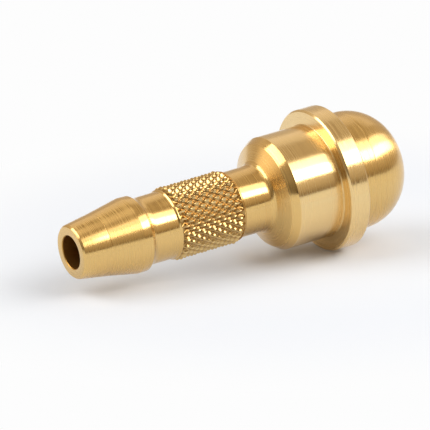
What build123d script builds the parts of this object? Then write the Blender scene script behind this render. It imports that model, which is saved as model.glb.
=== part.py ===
from build123d import *
import os
from math import cos, pi, radians, sin, sqrt, tan

# A hose nipple with a bullet nose, turned and knurled from one brass bar.
# It stands on the end of its nose: the origin is the middle of that end, and
# +Z runs up the turning axis to the tail, which goes into the hose.
# All sizes are in millimetres. Lengths run along the axis.

# Bore, drilled right through and broken at both mouths
BORE_R = 2.35
BORE_CHAMFER = 0.10

# Bullet nose: a large round that leaves a flat ring at the end
NOSE_R = 8.25
NOSE_ROUND_R = 6.70
NOSE_END_R = 4.00
NOSE_STRAIGHT = 2.80

# Collar that the union nut pulls on
COLLAR_R = 10.00
COLLAR_THICKNESS = 3.05
COLLAR_EDGE = 0.25
COLLAR_FILLET_R = 0.90

# Nut guide: the smooth barrel that the union nut turns on
GUIDE_R = 7.95
GUIDE_LENGTH = 6.90
GUIDE_CHAMFER_LENGTH = 1.10
GUIDE_CHAMFER_DEPTH = 0.75
SHOULDER_LEAN = 25.0  # degrees by which the shoulder's face leans off square
SHOULDER_FILLET_R = 0.90

# Neck between the shoulder's rim and the knurl
NECK_R = 4.65
NECK_LENGTH = 5.65

# Diamond knurl that grips the hose
KNURL_LENGTH = 10.45
KNURL_CREST_R = 5.06
KNURL_DEPTH = 0.42
KNURL_STARTS = 29  # grooves of each hand round the bar
KNURL_ROWS = 12  # half diamonds along the bar
KNURL_RIM_R = 4.90  # plain rims that the grooves stop at
KNURL_RIM_WIDTH = 0.30
KNURL_RIM_CHAMFER = 0.20

# Shank between the knurl and the barb
SHANK_R = 4.70
SHANK_LENGTH = 3.40

# Barb: a long lead-in cone, a narrow land and a sloping back
BARB_R = 5.30
BARB_BACK_LENGTH = 1.15
BARB_LAND_LENGTH = 1.20
BARB_CONE_LENGTH = 8.80
TAIL_R = 3.75
TAIL_CHAMFER = 0.25

# Heights above the end of the nose
z_round = sqrt(NOSE_ROUND_R**2 - (NOSE_END_R - NOSE_R + NOSE_ROUND_R) ** 2)
z_collar_back = z_round + NOSE_STRAIGHT
z_collar_face = z_collar_back + COLLAR_THICKNESS
z_guide_end = z_collar_face + GUIDE_LENGTH
z_shoulder = z_guide_end + GUIDE_CHAMFER_LENGTH
z_knurl_low = z_shoulder + NECK_LENGTH
z_knurl_high = z_knurl_low + KNURL_LENGTH
z_barb_foot = z_knurl_high + SHANK_LENGTH
z_land_low = z_barb_foot + BARB_BACK_LENGTH
z_land_high = z_land_low + BARB_LAND_LENGTH
z_tail = z_land_high + BARB_CONE_LENGTH

# The grooves start and end at the plain rims
z_groove_low = z_knurl_low + KNURL_RIM_WIDTH
z_groove_high = z_knurl_high - KNURL_RIM_WIDTH
groove_r = KNURL_CREST_R - KNURL_DEPTH

# The collar's face keeps a flat ring, at least as wide as the fillet, for the nut
collar_flat_r = COLLAR_R - COLLAR_EDGE
collar_fillet_r = min(COLLAR_FILLET_R, (collar_flat_r - GUIDE_R) / 2)

shoulder_r = GUIDE_R - GUIDE_CHAMFER_DEPTH
shoulder_rise = (shoulder_r - NECK_R) * tan(radians(SHOULDER_LEAN))
tail_edge_r = TAIL_R + TAIL_CHAMFER * (BARB_R - TAIL_R) / BARB_CONE_LENGTH


def turned_bar():
    """The bar as turned: every section but the knurled band, which is left as a core."""
    core_r = (BORE_R + groove_r) / 2
    corners = [  # radius, height and the fillet at that corner
        (NOSE_R, z_round, 0),
        (NOSE_R, z_collar_back, 0),
        (collar_flat_r, z_collar_back, 0),
        (COLLAR_R, z_collar_back + COLLAR_EDGE, 0),
        (COLLAR_R, z_collar_face - COLLAR_EDGE, 0),
        (collar_flat_r, z_collar_face, 0),
        (GUIDE_R, z_collar_face, collar_fillet_r),
        (GUIDE_R, z_guide_end, 0),
        (shoulder_r, z_shoulder, 0),
        (NECK_R, z_shoulder + shoulder_rise, SHOULDER_FILLET_R),
        (NECK_R, z_knurl_low, 0),
        (KNURL_RIM_R, z_knurl_low + KNURL_RIM_CHAMFER, 0),
        (KNURL_RIM_R, z_groove_low, 0),
        (core_r, z_groove_low, 0),
        (core_r, z_groove_high, 0),
        (KNURL_RIM_R, z_groove_high, 0),
        (KNURL_RIM_R, z_knurl_high - KNURL_RIM_CHAMFER, 0),
        (SHANK_R, z_knurl_high, 0),
        (SHANK_R, z_barb_foot, 0),
        (BARB_R, z_land_low, 0),
        (BARB_R, z_land_high, 0),
        (tail_edge_r, z_tail - TAIL_CHAMFER, 0),
        (tail_edge_r - TAIL_CHAMFER, z_tail, 0),
        (0, z_tail, 0),
    ]
    with BuildPart() as bar:
        with BuildSketch(Plane.XZ):
            with BuildLine():
                outline = FilletPolyline(
                    [(r, z) for r, z, _ in corners],
                    radius=[fillet_r for _, _, fillet_r in corners[1:-1]],
                )
                nose = TangentArc(outline @ 0, (NOSE_END_R, 0), tangent=(0, -1))
                Polyline(nose @ 1, (0, 0), outline @ 1)
            make_face()
        revolve(axis=Axis.Z)
    return bar.part


def knurled_band():
    """The knurled band: a closed bar of diamonds between crossed vee grooves."""
    half_turn = pi / KNURL_STARTS
    half_rise = (z_groove_high - z_groove_low) / KNURL_ROWS

    def on_bar(r, turn, z):
        return Vector(r * cos(turn), r * sin(turn), z)

    facets = []
    ends = {0: [], KNURL_ROWS: []}
    for row in range(KNURL_ROWS + 1):
        z = z_groove_low + row * half_rise
        # The first and last rows are diamonds cut in half by the rims
        sides = {0: (0, 1), KNURL_ROWS: (2, 3)}.get(row, (0, 1, 2, 3))
        for start in range(KNURL_STARTS):
            turn = (2 * start + row % 2) * half_turn
            crest = on_bar(KNURL_CREST_R, turn, z)
            base = [
                on_bar(groove_r, turn + half_turn, z),
                on_bar(groove_r, turn, z + half_rise),
                on_bar(groove_r, turn - half_turn, z),
                on_bar(groove_r, turn, z - half_rise),
            ]
            for k in sides:
                facets.append([base[k], base[(k + 1) % 4], crest])
            if row in ends:
                ends[row] += [crest, base[0]]
    faces = [Face(Wire.make_polygon(points)) for points in [*facets, *ends.values()]]
    return Solid(Shell(faces))


def bore():
    """The drill's path, with a countersink at each mouth."""
    mouth_r = BORE_R + BORE_CHAMFER
    corners = [
        (0, 0),
        (mouth_r, 0),
        (BORE_R, BORE_CHAMFER),
        (BORE_R, z_tail - BORE_CHAMFER),
        (mouth_r, z_tail),
        (0, z_tail),
    ]
    with BuildPart() as drill:
        with BuildSketch(Plane.XZ):
            with BuildLine():
                Polyline(corners, close=True)
            make_face()
        revolve(axis=Axis.Z)
    return drill.part


os.makedirs("parts", exist_ok=True)
hose_nipple = turned_bar() + knurled_band() - bore()
export_step(hose_nipple, "parts/hose_nipple.step")
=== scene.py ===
from math import asin, cos, degrees, pi, radians, sin, sqrt, tan

import bmesh
import bpy
from mathutils import Matrix, Vector


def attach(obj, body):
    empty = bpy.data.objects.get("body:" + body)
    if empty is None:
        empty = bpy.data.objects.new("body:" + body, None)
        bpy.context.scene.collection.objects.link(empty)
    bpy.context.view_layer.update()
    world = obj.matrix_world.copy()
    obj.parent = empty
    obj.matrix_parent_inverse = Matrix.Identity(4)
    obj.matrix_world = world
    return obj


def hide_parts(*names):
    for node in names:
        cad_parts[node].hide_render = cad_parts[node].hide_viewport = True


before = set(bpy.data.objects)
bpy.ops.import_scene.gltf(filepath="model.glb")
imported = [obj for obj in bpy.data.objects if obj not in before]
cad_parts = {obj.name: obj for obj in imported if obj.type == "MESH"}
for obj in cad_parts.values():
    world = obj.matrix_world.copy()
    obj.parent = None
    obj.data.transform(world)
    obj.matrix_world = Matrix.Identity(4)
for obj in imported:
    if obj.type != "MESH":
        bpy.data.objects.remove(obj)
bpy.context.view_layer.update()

bpy.ops.object.select_all(action="DESELECT")

# ---------------------------------------------------------------------------
# The turned bar. A hose nipple is one piece of free-cutting brass, turned from
# bar on a CNC lathe and drilled through. Its half outline is drawn from the
# knurl round the nose, up the bore and down over the barb, and is then spun.
MM = 0.001  # sizes are in millimetres: a length along the bar, or a radius (R)

BORE_R = 2.35
BORE_CHAMFER = 0.10
NOSE_R = 8.25
NOSE_ROUND_R = 6.70
NOSE_END_R = 4.00
NOSE_STRAIGHT = 2.80
COLLAR_R = 10.00
COLLAR_THICKNESS = 3.05
COLLAR_EDGE = 0.25
COLLAR_CORNER_R = 0.15  # where the collar's face meets the nut guide
GUIDE_R = 7.95  # the smooth barrel that the union nut turns on
GUIDE_LENGTH = 6.90
GUIDE_CHAMFER_LENGTH = 1.10
GUIDE_CHAMFER_DEPTH = 0.75
SHOULDER_LEAN = 25.0  # degrees off square
SHOULDER_FILLET_R = 0.90
NECK_R = 4.65
NECK_LENGTH = 5.65
KNURL_LENGTH = 10.45
RIM_R = 4.90  # the plain rims at both ends of the knurl
RIM_WIDTH = 0.30
RIM_CHAMFER = 0.20
SHANK_R = 4.70
SHANK_LENGTH = 3.40
BARB_R = 5.30
BARB_BACK_LENGTH = 1.15  # from the shank to the barb's land
BARB_BACK_RUN = 0.75  # the part of it that slopes
BARB_BACK_HOLLOW_R = 1.60
BARB_LAND_LENGTH = 1.20
BARB_CONE_LENGTH = 8.80
TAIL_R = 3.75
TAIL_CHAMFER = 0.25
TOOL_LINE = 4.10  # from the tail, where the cone was cut in two passes
TOOL_LINE_DEPTH = 0.035
TOOL_LINE_WIDTH = 0.14
SECOND_PASS = 0.06  # how much lower the cone is at the tool line than a straight one
NOSE_LINE_DEPTH = 0.02  # the tool line where the nose's round begins
LINE_ROUND = 0.02  # on the corners of both tool lines

EDGE_BREAK = 0.09  # the hair of a round that the tool leaves on each turned corner
NOSE_FACETS = 22  # along the nose's round
BAR_FACETS = 232  # around the bar, a whole number for each groove of the knurl
CORNER_FACETS = 3  # the fewest on a rounded corner
CORNER_FACET = 5  # the radius of a corner, times the degrees it turns, for each facet
SAME_PLACE = 1e-3  # points that lie closer are one

z_round = sqrt(NOSE_ROUND_R**2 - (NOSE_END_R - NOSE_R + NOSE_ROUND_R) ** 2)
z_collar_back = z_round + NOSE_STRAIGHT
z_collar_face = z_collar_back + COLLAR_THICKNESS
z_guide_end = z_collar_face + GUIDE_LENGTH
z_shoulder = z_guide_end + GUIDE_CHAMFER_LENGTH
z_knurl_low = z_shoulder + NECK_LENGTH
z_knurl_high = z_knurl_low + KNURL_LENGTH
z_barb_foot = z_knurl_high + SHANK_LENGTH
z_land_low = z_barb_foot + BARB_BACK_LENGTH
z_land_high = z_land_low + BARB_LAND_LENGTH
z_tail = z_land_high + BARB_CONE_LENGTH
z_groove_low = z_knurl_low + RIM_WIDTH
z_groove_high = z_knurl_high - RIM_WIDTH
shoulder_r = GUIDE_R - GUIDE_CHAMFER_DEPTH
shoulder_rise = (shoulder_r - NECK_R) * tan(radians(SHOULDER_LEAN))
tail_edge_r = TAIL_R + TAIL_CHAMFER * (BARB_R - TAIL_R) / BARB_CONE_LENGTH
mouth_r = BORE_R + BORE_CHAMFER
z_line = z_tail - TOOL_LINE
line_r = TAIL_R + TOOL_LINE * (BARB_R - TAIL_R) / BARB_CONE_LENGTH - SECOND_PASS


def start_in_edit_mode(name):
    """Names the primitive that was just added and opens it in edit mode."""
    piece = bpy.context.object
    piece.name = piece.data.name = name
    bpy.ops.object.mode_set(mode="EDIT")
    return piece


def pick_points(piece, wanted):
    """Selects only the points whose place wanted() accepts."""
    bpy.ops.mesh.select_mode(type="VERT")
    mesh = bmesh.from_edit_mesh(piece.data)
    for point in mesh.verts:
        point.select_set(wanted(point.co))
    mesh.select_flush_mode()
    bmesh.update_edit_mesh(piece.data)


def draw_on(here, corners):
    """Draws the outline on from here through the corners, a straight line to each."""
    for r, z, _ in corners:
        there = Vector((r, 0, z))
        bpy.ops.mesh.extrude_region_move(TRANSFORM_OT_translate={"value": there - here})
        here = there


def round_corners(piece, corners):
    """Gives each corner but the first and last the round that it names."""
    places = [Vector((r, 0, z)) for r, z, _ in corners]
    for before, here, after, (_, _, round_r) in zip(places, places[1:], places[2:], corners[1:]):
        turn = (here - before).angle(after - here)
        pick_points(piece, lambda place: (place - here).length < SAME_PLACE)
        bpy.ops.mesh.bevel(
            affect="VERTICES",
            offset=round_r * tan(turn / 2),
            segments=max(CORNER_FACETS, round(round_r * degrees(turn) / CORNER_FACET)),
        )


knurl_to_nose = [  # radius, height above the end of the nose, and the corner's round
    (RIM_R, z_groove_low, 0),
    (RIM_R, z_knurl_low + RIM_CHAMFER, EDGE_BREAK),
    (NECK_R, z_knurl_low, EDGE_BREAK),
    (NECK_R, z_shoulder + shoulder_rise, SHOULDER_FILLET_R),
    (shoulder_r, z_shoulder, EDGE_BREAK),
    (GUIDE_R, z_guide_end, EDGE_BREAK),
    (GUIDE_R, z_collar_face, COLLAR_CORNER_R),
    (COLLAR_R - COLLAR_EDGE, z_collar_face, EDGE_BREAK),
    (COLLAR_R, z_collar_face - COLLAR_EDGE, EDGE_BREAK),
    (COLLAR_R, z_collar_back + COLLAR_EDGE, EDGE_BREAK),
    (COLLAR_R - COLLAR_EDGE, z_collar_back, EDGE_BREAK),
    (NOSE_R, z_collar_back, EDGE_BREAK),
    (NOSE_R, z_round + TOOL_LINE_WIDTH, LINE_ROUND),
    (NOSE_R - NOSE_LINE_DEPTH, z_round + TOOL_LINE_WIDTH / 2, LINE_ROUND),
    (NOSE_R, z_round, 0),
]
nose_to_knurl = [
    (NOSE_END_R, 0, 0),
    (mouth_r, 0, EDGE_BREAK),
    (BORE_R, BORE_CHAMFER, EDGE_BREAK),
    (BORE_R, z_tail - BORE_CHAMFER, EDGE_BREAK),
    (mouth_r, z_tail, EDGE_BREAK),
    (tail_edge_r - TAIL_CHAMFER, z_tail, EDGE_BREAK),
    (tail_edge_r, z_tail - TAIL_CHAMFER, EDGE_BREAK),
    (line_r, z_line + TOOL_LINE_WIDTH / 2, LINE_ROUND),
    (line_r - TOOL_LINE_DEPTH, z_line, LINE_ROUND),
    (line_r, z_line - TOOL_LINE_WIDTH / 2, LINE_ROUND),
    (BARB_R, z_land_high, EDGE_BREAK),
    (BARB_R, z_land_low, EDGE_BREAK),
    (SHANK_R, z_land_low - BARB_BACK_RUN, BARB_BACK_HOLLOW_R),
    (SHANK_R, z_knurl_high, EDGE_BREAK),
    (RIM_R, z_knurl_high - RIM_CHAMFER, EDGE_BREAK),
    (RIM_R, z_groove_high, 0),
]

bpy.ops.mesh.primitive_plane_add(size=1)
nipple = start_in_edit_mode("hose_nipple_brass")
bpy.ops.mesh.merge(type="CENTER")
bar_start = Vector((RIM_R, 0, z_groove_low))
bpy.ops.transform.translate(value=bar_start)
draw_on(bar_start, knurl_to_nose[1:])
bpy.ops.mesh.spin(
    steps=NOSE_FACETS,
    angle=-asin(z_round / NOSE_ROUND_R),
    center=(NOSE_R - NOSE_ROUND_R, 0, z_round),
    axis=(0, 1, 0),
)
draw_on(Vector((NOSE_END_R, 0, 0)), nose_to_knurl[1:])
round_corners(nipple, knurl_to_nose)
round_corners(nipple, nose_to_knurl)
bpy.ops.mesh.select_all(action="SELECT")
bpy.ops.mesh.spin(steps=BAR_FACETS, angle=2 * pi, center=(0, 0, 0), axis=(0, 0, 1))
bpy.ops.mesh.select_all(action="SELECT")
bpy.ops.mesh.remove_doubles(threshold=SAME_PLACE)
bpy.ops.object.mode_set(mode="OBJECT")

# ---------------------------------------------------------------------------
# The knurl. Two hardened wheels press crossed grooves into the band behind the
# barb and raise it into round-topped diamonds, which grip the hose. A net with
# a point at each crossing and each crest is subdivided, and joined to the bar.
KNURL_STARTS = 29  # grooves of each hand round the bar
KNURL_ROWS = 12  # half diamonds along the bar
PEAK_R = 5.90  # the net's points over the crests, which are rounded down to 5.08
PIT_R = 4.42  # its points under the crossings, which are rounded up to 4.64
END_ROW_R = 4.78  # where the net meets the bar at each end
NET_LEVELS = 2  # of subdivision, so that the net has as many points around as the bar
SHARP_ANGLE = 35  # degrees between the faces at an edge that stays sharp

half_rise = (z_groove_high - z_groove_low) / KNURL_ROWS

bpy.ops.object.select_all(action="DESELECT")
bpy.ops.mesh.primitive_cylinder_add(
    vertices=2 * KNURL_STARTS,
    radius=PIT_R,
    depth=z_groove_high - z_groove_low,
    end_fill_type="NOTHING",
    location=(0, 0, (z_groove_low + z_groove_high) / 2),
)
bpy.ops.object.transform_apply(location=True, rotation=False, scale=False)
band = start_in_edit_mode("knurled_band")


def pick_edges(piece, wanted):
    """Selects only the edges that wanted() accepts."""
    bpy.ops.mesh.select_mode(type="EDGE")
    mesh = bmesh.from_edit_mesh(piece.data)
    for edge in mesh.edges:
        edge.select_set(wanted(edge))
    bmesh.update_edit_mesh(piece.data)


pick_edges(band, lambda edge: abs(edge.verts[0].co.z - edge.verts[1].co.z) > half_rise)
bpy.ops.mesh.subdivide(number_cuts=KNURL_ROWS - 1)


def is_crest(place):
    """Crests and groove crossings take turns, along the bar and around it."""
    turn = Vector((0, 1)).angle_signed(place.xy) * KNURL_STARTS / pi
    return (round(turn) + round((place.z - z_groove_low) / half_rise)) % 2 == 0


pick_points(band, lambda place: not is_crest(place))
bpy.ops.mesh.vert_connect()


def is_inside(place):
    """All rows but the first and the last lie inside the band."""
    return z_groove_low + half_rise / 2 < place.z < z_groove_high - half_rise / 2


for net_r, wanted in (
    (PEAK_R, lambda place: is_inside(place) and is_crest(place)),
    (END_ROW_R, lambda place: not is_inside(place)),
):
    pick_points(band, wanted)
    bpy.ops.transform.resize(
        value=(net_r / PIT_R, net_r / PIT_R, 1), center_override=(0, 0, 0)
    )
bpy.ops.object.mode_set(mode="OBJECT")
bpy.ops.object.modifier_add(type="SUBSURF")
band.modifiers["Subdivision"].levels = NET_LEVELS
bpy.ops.object.modifier_apply(modifier="Subdivision")

nipple.select_set(True)
bpy.context.view_layer.objects.active = nipple
bpy.ops.object.join()
bpy.ops.object.mode_set(mode="EDIT")
for seam in (z_groove_low, z_groove_high):
    pick_edges(
        nipple,
        lambda edge: edge.is_boundary
        and all(abs(point.co.z - seam) < SAME_PLACE for point in edge.verts),
    )
    bpy.ops.mesh.bridge_edge_loops()
bpy.ops.mesh.select_all(action="SELECT")
bpy.ops.mesh.normals_make_consistent(inside=False)
bpy.ops.transform.resize(value=(MM, MM, MM), center_override=(0, 0, 0))
bpy.ops.object.mode_set(mode="OBJECT")
bpy.ops.object.shade_smooth_by_angle(angle=radians(SHARP_ANGLE))
bpy.ops.object.modifier_add(type="WEIGHTED_NORMAL")
nipple.modifiers["WeightedNormal"].keep_sharp = True
nipple.modifiers["WeightedNormal"].weight = 100  # the most, so large faces look straight
bpy.ops.object.modifier_apply(modifier="WeightedNormal")

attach(nipple, "root")
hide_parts("hose_nipple")

# ---------------------------------------------------------------------------
# The finish. The bar is bare free-cutting brass, a warm yellow metal, under the
# thin film of oil that the lathe leaves. The tool's fine rings run round the
# axis and draw each reflection out along the barrels and outwards on the faces.
BRASS = "#DFB870"
PALER_BRASS = "#EAC98B"  # the nut guide and the collar, a shade paler than the rest of the bar
RING_WIDTH = 0.22  # mm between the rings; the real ones lie at 0.1 and would not show
RING_HEIGHT = 0.0003  # mm, from the bottom of a ring to its top
RING_DRIFT = 0.05  # how fast the rings fade and swell round the bar
RING_DETAIL = 2.0
RING_ROUGHNESS = 0.6  # how strong the finer rings are against the main ones
RING_NOISE = (0.3, 0.7)  # the noise seldom leaves this range
BARREL_POLISH = (0.12, 0.33)  # roughness, from the smoothest ring to the roughest
FORM_POLISH = (0.17, 0.35)  # the cone and the nose, where the tool moves both ways
GRAIN = 0.88  # how far the rings draw a reflection out
ACROSS_THE_RINGS = 0.25  # of a turn, from the tangent of the rings
OIL = 0.5  # how much of the metal the film covers
OIL_IOR = 1.6  # a little over a real oil's 1.5, so that the thin film shows
OIL_ROUGHNESS = 0.14


def linear_colour(code):
    """The linear colour, with its alpha, of an sRGB hex code."""
    parts = [int(code[i : i + 2], 16) / 255 for i in (1, 3, 5)]
    return [p / 12.92 if p <= 0.04045 else ((p + 0.055) / 1.055) ** 2.4 for p in parts] + [1]


def add_node(tree, kind, settings=None, **inputs):
    """Adds a node. An input is a value, or a link from (node, output).

    An input is named, or numbered after an underscore. Where a Mix node mixes
    colours, they are its inputs 6 and 7, and the mixed colour is its output 2.
    """
    node = tree.nodes.new("ShaderNode" + kind)
    for name, value in (settings or {}).items():
        setattr(node, name, value)
    for name, value in inputs.items():
        socket = node.inputs[int(name[1:]) if name[1:].isdigit() else name.replace("_", " ")]
        if isinstance(value, tuple) and isinstance(value[0], bpy.types.Node):
            tree.links.new(value[0].outputs[value[1]], socket)
        else:
            socket.default_value = value
    return node


def new_tree(owner):
    """The empty node tree of a material or a world."""
    owner.use_nodes = True
    tree = owner.node_tree
    tree.nodes.clear()
    return tree


def turned_brass(name, colour, polish):
    """Bare turned brass: bright, with rings that glint and fade as they go round."""
    material = bpy.data.materials.new(name)
    tree = new_tree(material)
    place = add_node(tree, "TexCoord")
    axes = add_node(tree, "SeparateXYZ", Vector=(place, "Object"))
    flat = add_node(tree, "CombineXYZ", X=(axes, "X"), Y=(axes, "Y"))
    r = add_node(tree, "VectorMath", {"operation": "LENGTH"}, _0=(flat, "Vector"))
    way = add_node(tree, "VectorMath", {"operation": "NORMALIZE"}, _0=(flat, "Vector"))
    way_axes = add_node(tree, "SeparateXYZ", Vector=(way, "Vector"))
    ring_r = add_node(tree, "Math", {"operation": "DIVIDE"}, _0=(r, "Value"), _1=RING_WIDTH * MM)
    ring_z = add_node(tree, "Math", {"operation": "DIVIDE"}, _0=(axes, "Z"), _1=RING_WIDTH * MM)
    turn_x = add_node(tree, "Math", {"operation": "MULTIPLY"}, _0=(way_axes, "X"), _1=RING_DRIFT)
    turn_y = add_node(tree, "Math", {"operation": "MULTIPLY"}, _0=(way_axes, "Y"), _1=RING_DRIFT)
    spot = add_node(
        tree, "CombineXYZ", X=(ring_r, "Value"), Y=(ring_z, "Value"), Z=(turn_x, "Value")
    )
    rings = add_node(
        tree,
        "TexNoise",
        {"noise_dimensions": "4D"},
        Vector=(spot, "Vector"),
        W=(turn_y, "Value"),
        Scale=1.0,
        Detail=RING_DETAIL,
        Roughness=RING_ROUGHNESS,
    )
    rough = add_node(
        tree,
        "MapRange",
        Value=(rings, "Fac"),
        From_Min=RING_NOISE[0],
        From_Max=RING_NOISE[1],
        To_Min=polish[0],
        To_Max=polish[1],
    )
    bump = add_node(
        tree, "Bump", Strength=1.0, Distance=RING_HEIGHT * MM, Height=(rings, "Fac")
    )
    tangent = add_node(tree, "Tangent", {"direction_type": "RADIAL", "axis": "Z"})
    shader = add_node(
        tree,
        "BsdfPrincipled",
        Base_Color=linear_colour(colour),
        Metallic=1.0,
        Roughness=(rough, "Result"),
        Anisotropic=GRAIN,
        Anisotropic_Rotation=ACROSS_THE_RINGS,
        Coat_Weight=OIL,
        Coat_IOR=OIL_IOR,
        Coat_Roughness=OIL_ROUGHNESS,
        Normal=(bump, "Normal"),
        Tangent=(tangent, "Tangent"),
    )
    add_node(tree, "OutputMaterial", Surface=(shader, "BSDF"))
    return material


KNURL_GROOVE_R = 4.64
KNURL_CREST_R = 5.08
GROOVE_SHADE_BRASS = "#9A712C"  # painted shade: the brass darkened down in the grooves, where shade falls
CREST_BRASS = "#DDBD7E"  # on the crests, which the wheels have pressed smooth: the brass's own colour, where the painted shade ends
KNURL_GRAIN = 0.35  # mm between the dents that the pressing leaves
KNURL_GRAIN_HEIGHT = 0.006  # mm, from the bottom of a dent to its edge
KNURL_GRAIN_DETAIL = 2.0
KNURL_ROUGHNESS = 0.2


def groove_tone(tree, place, lowest, highest, dark, bright):
    """Painted shade: goes from dark to bright with the distance from the axis, in millimetres."""
    axes = add_node(tree, "SeparateXYZ", Vector=(place, "Object"))
    flat = add_node(tree, "CombineXYZ", X=(axes, "X"), Y=(axes, "Y"))
    r = add_node(tree, "VectorMath", {"operation": "LENGTH"}, _0=(flat, "Vector"))
    rise = add_node(
        tree, "MapRange", Value=(r, "Value"), From_Min=lowest * MM, From_Max=highest * MM
    )
    return add_node(
        tree,
        "Mix",
        {"data_type": "RGBA"},
        _0=(rise, "Result"),
        _6=linear_colour(dark),
        _7=linear_colour(bright),
    )


def knurled_brass():
    """Pressed brass under a film of oil, with painted shade that darkens it from the crests down
    into the grooves.
    """
    material = bpy.data.materials.new("knurled_brass")
    tree = new_tree(material)
    place = add_node(tree, "TexCoord")
    tone = groove_tone(
        tree, place, KNURL_GROOVE_R, KNURL_CREST_R, GROOVE_SHADE_BRASS, CREST_BRASS
    )
    grain = add_node(
        tree,
        "TexNoise",
        Vector=(place, "Object"),
        Scale=1 / (KNURL_GRAIN * MM),
        Detail=KNURL_GRAIN_DETAIL,
    )
    bump = add_node(
        tree, "Bump", Strength=1.0, Distance=KNURL_GRAIN_HEIGHT * MM, Height=(grain, "Fac")
    )
    shader = add_node(
        tree,
        "BsdfPrincipled",
        Base_Color=(tone, 2),
        Metallic=1.0,
        Roughness=KNURL_ROUGHNESS,
        Coat_Weight=OIL,
        Coat_IOR=OIL_IOR,
        Coat_Roughness=KNURL_ROUGHNESS / 2,
        Normal=(bump, "Normal"),
    )
    add_node(tree, "OutputMaterial", Surface=(shader, "BSDF"))
    return material


# darker brass in the bore: old oil, and painted shade for the depth of the bore
BORE_BRASS = "#BC8F48"
BORE_ROUGHNESS = 0.4


def drilled_brass():
    """Drilled brass: the drill rubs the wall dull, and old oil and painted shade darken it."""
    material = bpy.data.materials.new("drilled_brass")
    tree = new_tree(material)
    shader = add_node(
        tree,
        "BsdfPrincipled",
        Base_Color=linear_colour(BORE_BRASS),
        Metallic=1.0,
        Roughness=BORE_ROUGHNESS,
    )
    add_node(tree, "OutputMaterial", Surface=(shader, "BSDF"))
    return material


TURNED, KNURLED, DRILLED, PALER_TURNED, FORM_TURNED = range(5)

nipple.data.materials.clear()
for material in (
    turned_brass("turned_brass", BRASS, BARREL_POLISH),
    knurled_brass(),
    drilled_brass(),
    turned_brass("paler_turned_brass", PALER_BRASS, BARREL_POLISH),
    turned_brass("form_turned_brass", BRASS, FORM_POLISH),
):
    nipple.data.materials.append(material)
for face in nipple.data.polygons:
    r = face.center.xy.length / MM
    z = face.center.z / MM
    if r < mouth_r:
        face.material_index = DRILLED
    elif z_groove_low < z < z_groove_high:
        face.material_index = KNURLED
    elif z_collar_back < z < z_guide_end:
        face.material_index = PALER_TURNED
    elif not z_collar_back < z < z_land_high:
        face.material_index = FORM_TURNED
    else:
        face.material_index = TURNED

# ---------------------------------------------------------------------------
# The camera. A long lens stands a metre away, as for a catalogue, and keeps the
# bar's lines nearly parallel. The nipple stands on its nose, so the camera is
# rolled over until the nipple lies on its side in the frame.
IMAGE_SIDE = 430
TAIL_PIXEL = (70.85, 252.6)  # where the middle of the tail's end comes in the frame
CAMERA_DISTANCE = 1.0  # in metres, from the tail
LENS = 620.2  # its focal length, in millimetres
SENSOR = 36
CAMERA_PITCH = 27.06  # degrees that it looks down
CAMERA_ROLL = 16.52  # degrees that the bar slopes in the frame
FARTHEST = 100  # in metres, well beyond the walls

pitch, roll = radians(CAMERA_PITCH), radians(CAMERA_ROLL)
ahead = Vector((0, cos(pitch), -sin(pitch)))
right = -sin(roll) * Vector((1, 0, 0)) - cos(roll) * Vector((0, sin(pitch), cos(pitch)))
up = right.cross(ahead)
pixel = SENSOR * CAMERA_DISTANCE / LENS / IMAGE_SIDE
tail = Vector((0, 0, z_tail * MM))
camera_place = (
    tail
    - (TAIL_PIXEL[0] - IMAGE_SIDE / 2) * pixel * right
    + (TAIL_PIXEL[1] - IMAGE_SIDE / 2) * pixel * up
    - CAMERA_DISTANCE * ahead
)
bpy.ops.object.camera_add(location=camera_place)
camera = bpy.context.object
camera.rotation_euler = Matrix((right, up, -ahead)).transposed().to_euler()
camera.data.lens = LENS
camera.data.sensor_width = SENSOR
camera.data.clip_end = FARTHEST
bpy.context.scene.camera = camera

# ---------------------------------------------------------------------------
# The tabletop. A sheet of matt white board lies under the rim of the collar, on
# which the nipple rests as the camera sees it. It is seen only from above, so
# that it hides nothing from the other side.
LOOK_DOWN = 16.0  # degrees that the camera looks down on the table
CAMERA_TILT = 1.7  # degrees that the camera is turned against the table's edge
TABLE_R = 1.5  # in metres
TABLE_POINTS = 96
TABLE_COLOUR = "#EAECF0"
WHITE = "#FDFDFD"
SHADOW_REACH = 65  # mm from the collar, where the shadow has faded out
# How much of the board glows plain white by its distance, as painted light that takes no shadow
TABLE_GLOW = [(0, 0.03), (8, 0.05), (14, 0.2), (22, 0.3), (33, 0.2), (SHADOW_REACH, 1)]

down, tilt = radians(LOOK_DOWN), radians(CAMERA_TILT)
table_right = cos(tilt) * right + sin(tilt) * up
level_up = cos(tilt) * up - sin(tilt) * right
table_up = cos(down) * level_up - sin(down) * ahead
table_ahead = cos(down) * ahead + sin(down) * level_up
lean = table_up.z  # the sine of the angle that the bar makes with the table
table_level = (z_collar_face * lean - COLLAR_R * sqrt(1 - lean**2)) * MM
studio = Matrix((table_right, table_ahead, table_up)).transposed().to_4x4()
studio.translation = Vector((0, 0, z_collar_face * MM))
studio.translation += (table_level - studio.translation.dot(table_up)) * table_up

bpy.ops.object.select_all(action="DESELECT")
bpy.ops.mesh.primitive_circle_add(vertices=TABLE_POINTS, radius=TABLE_R, fill_type="NGON")
table = bpy.context.object
table.name = table.data.name = "tabletop"
table.matrix_world = studio


def fill_ramp(ramp, stops):
    """Sets the stops of a colour ramp, from (position, red, green, blue)."""
    points = ramp.color_ramp.elements
    while len(points) < len(stops):
        points.new(0.5)
    for point, (position, *colour) in zip(points, stops):
        point.position = position
        point.color = (*colour, 1)
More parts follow.
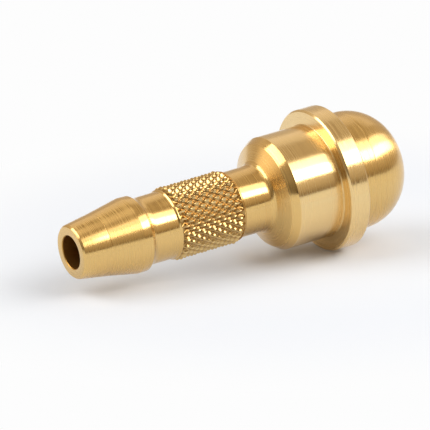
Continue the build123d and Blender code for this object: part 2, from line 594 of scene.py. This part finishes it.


# Matt white board: no gloss, and a soft grey shadow, which a painted white glow lightens more and
# more away from the nipple until it fades out
material = bpy.data.materials.new("white_tabletop")
tree = new_tree(material)
place = add_node(tree, "TexCoord")
away = add_node(tree, "VectorMath", {"operation": "LENGTH"}, _0=(place, "Object"))
share = add_node(tree, "Math", {"operation": "DIVIDE"}, _0=(away, "Value"), _1=SHADOW_REACH * MM)
far = add_node(tree, "ValToRGB", Fac=(share, "Value"))
far.color_ramp.interpolation = "EASE"
fill_ramp(far, [(reach / SHADOW_REACH, glow, glow, glow) for reach, glow in TABLE_GLOW])
path = add_node(tree, "LightPath")
side = add_node(tree, "NewGeometry")
matt = add_node(tree, "BsdfDiffuse", Color=linear_colour(TABLE_COLOUR))
plain = add_node(tree, "Emission", Color=linear_colour(WHITE))
top = add_node(tree, "MixShader", Fac=(far, "Color"), _1=(matt, "BSDF"), _2=(plain, "Emission"))
through = add_node(tree, "BsdfTransparent")
seen_from_below = add_node(
    tree,
    "Math",
    {"operation": "MULTIPLY"},
    _0=(side, "Backfacing"),
    _1=(path, "Is Camera Ray"),
)
one_sided = add_node(
    tree,
    "MixShader",
    Fac=(seen_from_below, "Value"),
    _1=(top, "Shader"),
    _2=(through, "BSDF"),
)
add_node(tree, "OutputMaterial", Surface=(one_sided, "Shader"))
table.data.materials.append(material)

# ---------------------------------------------------------------------------
# The light. A long softbox stands right of the camera, bright below and dim at
# the top, with a small one at the left and a weak one behind. Warm grey walls
# close the room, darkest by the table, and only reflections show them.
LAMP_DISTANCE = 0.5  # in metres


def softbox(name, faces, height, width, tall, strength, reach=0.0, grid=180):
    """A lamp that faces the nipple from an azimuth right of the camera and a height.

    It is moved along its own width by its reach, and a grid narrows its beam.
    Angles are in degrees and sizes in metres.
    """
    turn, rise = radians(faces), radians(height)
    place = Vector((cos(rise) * sin(turn), -cos(rise) * cos(turn), sin(rise))) * LAMP_DISTANCE
    bpy.ops.object.light_add(type="AREA")
    lamp = bpy.context.object
    lamp.name = name
    lamp.data.shape = "RECTANGLE"
    lamp.data.size = width
    lamp.data.size_y = tall
    lamp.data.energy = strength * pi * width * tall
    lamp.data.spread = radians(grid)
    aim = place.to_track_quat("Z", "Y").to_matrix().to_4x4()
    lamp.matrix_world = studio @ Matrix.Translation(place) @ aim @ Matrix.Translation((reach, 0, 0))


right_lamp = {"faces": 60, "width": 1.23, "reach": 0.435, "grid": 150}
softbox("right_softbox", height=37.5, tall=0.149, strength=4.3, **right_lamp)
softbox("right_softbox_top", height=54.0, tall=0.140, strength=1.4, **right_lamp)
softbox("left_softbox", faces=-80, height=47, width=0.42, tall=0.25, strength=3.8)
softbox("back_softbox", faces=180, height=47, width=0.5, tall=0.25, strength=0.3)

WALL_COLOUR = "#C9BEAF"
WALL_WARMTH = (1, 1.12, 1.35)  # powers of a level for red, green and blue
# The walls' levels before and behind the table, by the angle above it in degrees
FRONT_WALL = [
    (0, 0.16),
    (4, 0.34),
    (10, 0.55),
    (20, 0.70),
    (28, 0.84),
    (60, 0.70),
    (68, 0.48),
    (74, 0.5),
    (81, 0.9),
    (90, 0.9),
]
BACK_WALL = [
    (0, 0.62),
    (15, 0.60),
    (25, 0.63),
    (35, 0.71),
    (60, 0.50),
    (68, 0.36),
    (74, 0.4),
    (81, 0.9),
    (90, 0.9),
]
BACK_WALL_FROM, BACK_WALL_FULL = -0.2, 0.6  # how far behind, as a share of the room
ROOM_R = 3.0  # in metres
ROOM_POINTS = 48  # around it

bpy.ops.mesh.primitive_uv_sphere_add(
    segments=ROOM_POINTS, ring_count=ROOM_POINTS // 2, radius=ROOM_R
)
room = bpy.context.object
room.name = room.data.name = "studio_walls"
room.matrix_world = studio
room.visible_camera = False
room.visible_shadow = False
room.visible_diffuse = False

# Painted walls: a warm grey that the brass mirrors as its darker bands
material = bpy.data.materials.new("grey_walls")
tree = new_tree(material)
place = add_node(tree, "TexCoord")
spot = add_node(tree, "VectorMath", {"operation": "NORMALIZE"}, _0=(place, "Object"))
axes = add_node(tree, "SeparateXYZ", Vector=(spot, "Vector"))


def wall_tones(levels):
    """The wall's colour by its angle above the table, warmer where it is darker."""
    ramp = add_node(tree, "ValToRGB", Fac=(axes, "Z"))
    fill_ramp(
        ramp,
        [(sin(radians(rise)), *(level**power for power in WALL_WARMTH)) for rise, level in levels],
    )
    return ramp


front = wall_tones(FRONT_WALL)
back = wall_tones(BACK_WALL)
behind = add_node(
    tree, "MapRange", Value=(axes, "Y"), From_Min=BACK_WALL_FROM, From_Max=BACK_WALL_FULL
)
walls = add_node(
    tree,
    "Mix",
    {"data_type": "RGBA"},
    _0=(behind, "Result"),
    _6=(front, "Color"),
    _7=(back, "Color"),
)


def wall_patch(faces, height, outer, inner, level):
    """Goes from 1 to a level on the patch of wall that faces the nipple from there.

    The change begins at the outer angle from the patch's middle and is complete
    at the inner one, in degrees.
    """
    turn, rise = radians(faces), radians(height)
    middle = Vector((cos(rise) * sin(turn), -cos(rise) * cos(turn), sin(rise)))
    toward = add_node(
        tree, "VectorMath", {"operation": "DOT_PRODUCT"}, _0=(spot, "Vector"), _1=middle
    )
    return add_node(
        tree,
        "MapRange",
        {"interpolation_type": "SMOOTHSTEP"},
        Value=(toward, "Value"),
        From_Min=cos(radians(outer)),
        From_Max=cos(radians(inner)),
        To_Min=1.0,
        To_Max=level,
    )


behind_camera = wall_patch(-18, 10, outer=55, inner=15, level=0.4)
left_of_table = wall_patch(-93, 4, outer=26, inner=12, level=2.3)
patches = add_node(
    tree,
    "Math",
    {"operation": "MULTIPLY"},
    _0=(behind_camera, "Result"),
    _1=(left_of_table, "Result"),
)
dimmed = add_node(
    tree,
    "Mix",
    {"data_type": "RGBA", "blend_type": "MULTIPLY"},
    _0=1.0,
    _6=(walls, 2),
    _7=(patches, "Value"),
)
shade = add_node(
    tree,
    "Mix",
    {"data_type": "RGBA", "blend_type": "MULTIPLY"},
    _0=1.0,
    _6=(dimmed, 2),
    _7=linear_colour(WALL_COLOUR),
)
# The strength makes up for the colour's own darkness, which leaves its warmth
full = 1 / linear_colour(WALL_COLOUR)[0]
glow = add_node(tree, "Emission", Color=(shade, 2), Strength=full)
add_node(tree, "OutputMaterial", Surface=(glow, "Emission"))
room.data.materials.append(material)

AMBIENT = 0.25  # of the white that shows, as light on the board and the nipple
world = bpy.data.worlds.new("white_studio")
bpy.context.scene.world = world
tree = new_tree(world)
path = add_node(tree, "LightPath")
seen = add_node(
    tree, "Math", {"operation": "MAXIMUM"}, _0=(path, "Is Camera Ray"), _1=(path, "Is Glossy Ray")
)
shown = add_node(
    tree, "Math", {"operation": "MAXIMUM"}, _0=(seen, "Value"), _1=(path, "Is Transmission Ray")
)
strength = add_node(tree, "MapRange", Value=(shown, "Value"), To_Min=AMBIENT, To_Max=1.0)
sky = add_node(tree, "Background", Color=linear_colour(WHITE), Strength=(strength, "Result"))
add_node(tree, "OutputWorld", Surface=(sky, "Background"))

bpy.context.scene.view_settings.view_transform = "Standard"
